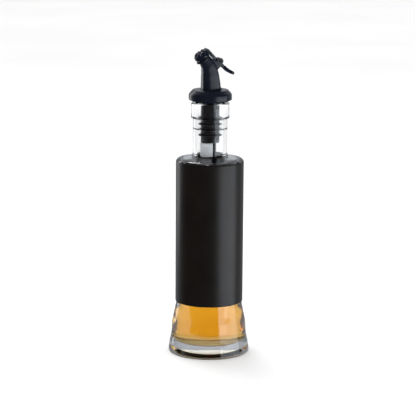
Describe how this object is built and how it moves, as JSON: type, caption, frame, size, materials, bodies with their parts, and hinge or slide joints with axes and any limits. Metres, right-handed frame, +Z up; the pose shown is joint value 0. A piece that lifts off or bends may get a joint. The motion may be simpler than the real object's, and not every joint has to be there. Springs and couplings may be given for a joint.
{
  "type": "oil and vinegar dispenser",
  "caption": "Glass oil and vinegar bottle in a black metal sleeve, with a ribbed stopper and a pourer whose lid opens by a thumb lever.",
  "frame": {"origin": "middle of the bottle's foot, on the surface that it stands on", "axes": "+Z up along the bottle's axis, the spout towards -X and the thumb lever towards +X"},
  "size_m": [0.068, 0.068, 0.2579],
  "materials": {
    "glass": "clear, polished",
    "sleeve": "black, satin",
    "oil": "clear golden liquid",
    "rubber": "black, matte",
    "pale_plastic": "translucent white",
    "black_plastic": "black, semi-gloss",
    "pin": "black, satin"
  },
  "bodies": {
    "bottle": {"glass_bottle": "glass", "metal_sleeve": "sleeve", "oil": "oil", "stopper_plug": "rubber", "pour_tube": "pale_plastic", "air_tube": "black_plastic", "pourer_body": "black_plastic", "hinge_pin": "pin"},
    "flap": {"pourer_flap": "black_plastic"}
  },
  "joints": [
    {"name": "flap_hinge", "type": "hinge", "parent": "bottle", "child": "flap", "pos_m": [0.0074, 0, 0.247], "axis": [0, 1, 0], "range_deg": [0, 38]}
  ]
}
